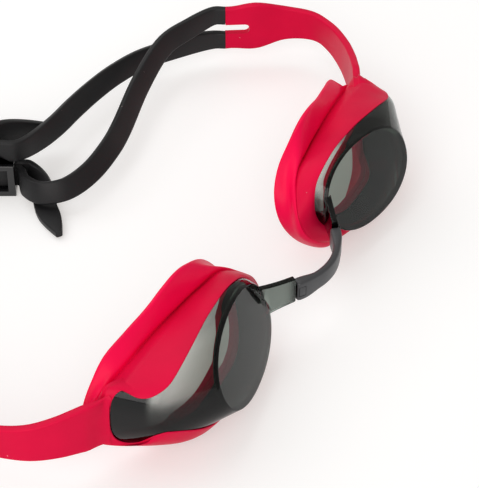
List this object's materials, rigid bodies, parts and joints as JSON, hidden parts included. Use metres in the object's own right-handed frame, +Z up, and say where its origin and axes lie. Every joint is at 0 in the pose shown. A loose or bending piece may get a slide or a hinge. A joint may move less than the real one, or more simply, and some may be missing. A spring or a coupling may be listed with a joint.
{
  "type": "swim goggles",
  "caption": "Racing swim goggles: smoke lens cups with red face seals, a clip-on nose bridge and forked silicone straps that meet in a ladder buckle.",
  "frame": {"origin": "middle of the bottom of the bounding box, on the table that the pair lies on", "axes": "+Z up, the lenses face -Y, the wearer's left is +X"},
  "size_m": [0.1876, 0.1446, 0.0353],
  "materials": {
    "smoke_lens": "clear smoke-grey polycarbonate",
    "red_band": "satin crimson silicone",
    "red_seal": "satin bright red silicone",
    "black_silicone": "matte black silicone",
    "black_plastic": "gloss black",
    "graphite_plastic": "satin graphite"
  },
  "bodies": {
    "strap": {"nose_bridge": "graphite_plastic", "side_strap_right": "red_band", "side_strap_left": "red_band", "strand_right_upper": "black_silicone", "strand_right_lower": "black_silicone", "strand_left_upper": "black_silicone", "strand_left_lower": "black_silicone"},
    "cup_right": {"lens_right": "smoke_lens", "band_right": "red_band", "seal_right": "red_seal"},
    "cup_left": {"lens_left": "smoke_lens", "band_left": "red_band", "seal_left": "red_seal"},
    "buckle": {"buckle_frame": "black_plastic"},
    "tab_right": {"release_tab_right": "graphite_plastic"},
    "tab_left": {"release_tab_left": "graphite_plastic"}
  },
  "joints": [
    {"name": "cup_right_pivot", "type": "hinge", "parent": "strap", "child": "cup_right", "pos_m": [-0.01617, -0.06739, 0.0163], "axis": [0, 0, 1], "range_deg": [-8, 8], "deforming": ["side_strap_right"]},
    {"name": "cup_left_pivot", "type": "hinge", "parent": "strap", "child": "cup_left", "pos_m": [0.00543, -0.06739, 0.0163], "axis": [0, 0, -1], "range_deg": [-8, 8], "deforming": ["side_strap_left"]},
    {"name": "buckle_slide", "type": "slide", "parent": "strap", "child": "buckle", "axis": [-0.454, 0.891, 0], "range_m": [0, 0.006]},
    {"name": "tab_right_hinge", "type": "hinge", "parent": "strap", "child": "tab_right", "pos_m": [-0.01595, -0.06968, 0.0163], "axis": [0, 0, 1], "range_deg": [0, 12], "stiffness_Nm_per_rad": 0.002},
    {"name": "tab_left_hinge", "type": "hinge", "parent": "strap", "child": "tab_left", "pos_m": [0.00521, -0.06968, 0.0163], "axis": [0, 0, -1], "range_deg": [0, 12], "stiffness_Nm_per_rad": 0.002}
  ]
}
